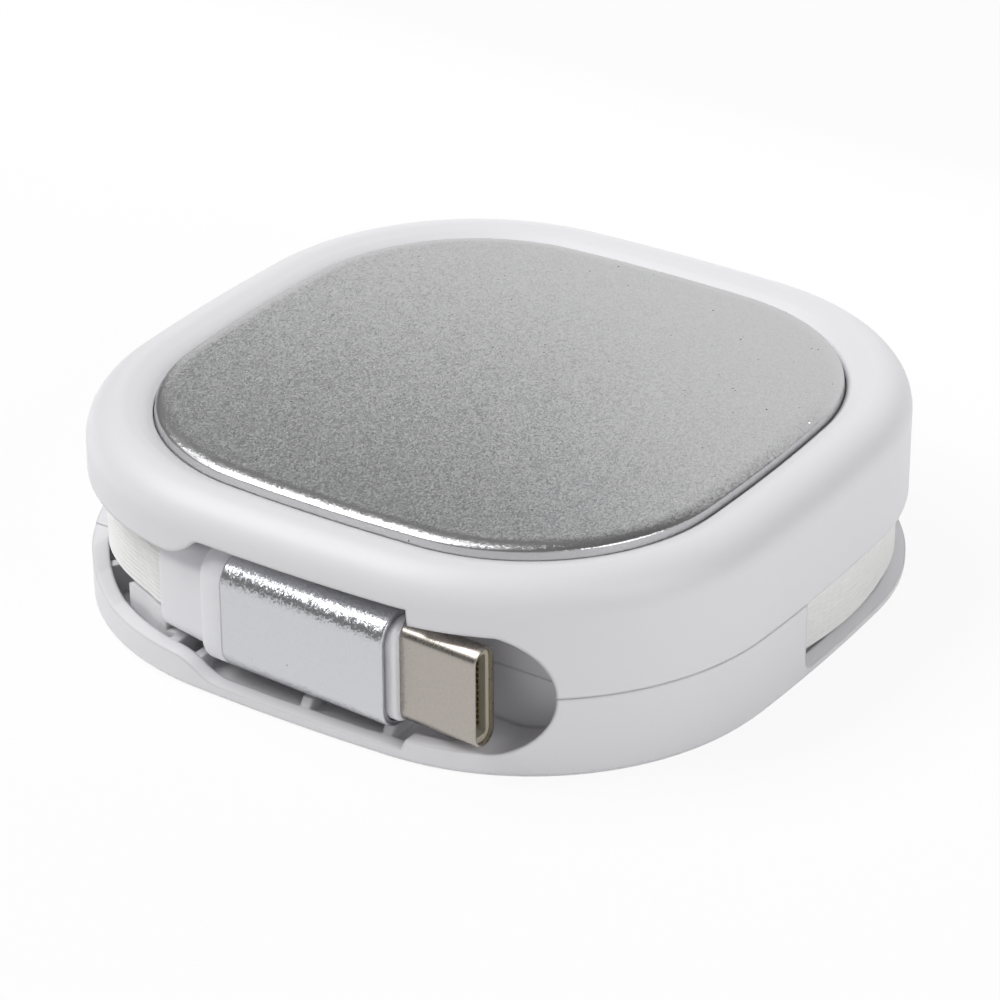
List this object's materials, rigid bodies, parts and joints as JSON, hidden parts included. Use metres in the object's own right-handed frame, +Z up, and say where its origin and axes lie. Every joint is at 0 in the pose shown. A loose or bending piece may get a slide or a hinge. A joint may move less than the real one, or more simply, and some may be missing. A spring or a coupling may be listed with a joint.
{
  "type": "retractable usb-c charging cable",
  "caption": "Rounded-square puck that winds a flat white charging cable on a sprung spool, with a USB-C plug parked in a bay on either side and a matt aluminium top plate.",
  "frame": {"origin": "middle of the underside of the case", "axes": "Z up; the plug bay seen in the picture faces -Y and its plug points along +X"},
  "size_m": [0.0584, 0.0588, 0.0162],
  "materials": {
    "white_shell": "satin moulded ABS",
    "plate_aluminium": "bead blasted and clear anodised",
    "sleeve_aluminium": "finely blasted and clear anodised",
    "plug_white": "overmoulded soft plastic",
    "cable_white": "extruded with fine lengthwise flutes",
    "plug_steel": "deep drawn and nickel plated",
    "insulator_grey": "moulded",
    "contact_gold": "gold plated",
    "circuit_green": "lacquered board",
    "spool_plastic": "moulded acetal",
    "spring_steel": "rolled strip",
    "bright_steel": "ground",
    "tape": "double sided film"
  },
  "bodies": {
    "housing": {"upper_shell": "white_shell", "lower_shell": "white_shell", "top_plate": "plate_aluminium", "plate_tape": "tape", "axle_screw": "bright_steel", "spool_washer": "spool_plastic"},
    "spool": {"spool": "spool_plastic", "spring_cover": "spool_plastic", "power_spring": "spring_steel", "front_coil": "cable_white", "rear_coil": "cable_white"},
    "ball": {"ratchet_ball": "bright_steel"},
    "front_plug": {"front_sleeve": "sleeve_aluminium", "front_collar": "plug_white", "front_relief": "plug_white", "front_steel": "plug_steel", "front_insulator": "insulator_grey", "front_contacts": "contact_gold", "front_latches": "spring_steel", "front_card": "circuit_green", "front_core": "plug_white", "front_lead": "cable_white"},
    "rear_plug": {"rear_sleeve": "sleeve_aluminium", "rear_collar": "plug_white", "rear_relief": "plug_white", "rear_steel": "plug_steel", "rear_insulator": "insulator_grey", "rear_contacts": "contact_gold", "rear_latches": "spring_steel", "rear_card": "circuit_green", "rear_core": "plug_white", "rear_lead": "cable_white"}
  },
  "joints": [
    {"name": "spool_turn", "type": "hinge", "parent": "housing", "child": "spool", "pos_m": [0, 0, 0.007], "axis": [0, 0, 1], "range_deg": [0, 1142], "stiffness_Nm_per_rad": 0.0005, "springref_deg": -343.77, "deforming": ["front_coil", "rear_coil", "power_spring"]},
    {"name": "front_pull", "type": "slide", "parent": "housing", "child": "front_plug", "axis": [0, -1, 0], "range_m": [0, 0.3], "deforming": ["front_lead"]},
    {"name": "rear_pull", "type": "slide", "parent": "housing", "child": "rear_plug", "axis": [0, 1, 0], "range_m": [0, 0.3], "deforming": ["rear_lead"]},
    {"name": "ball_shift", "type": "slide", "parent": "housing", "child": "ball", "axis": [-0.9063, -0.4226, 0], "range_m": [-0.0005, 0.0005]}
  ],
  "couplings": [
    {"joint": "front_pull", "follows": "spool_turn", "m_per_rad": 0.01505},
    {"joint": "rear_pull", "follows": "spool_turn", "m_per_rad": 0.01505}
  ]
}
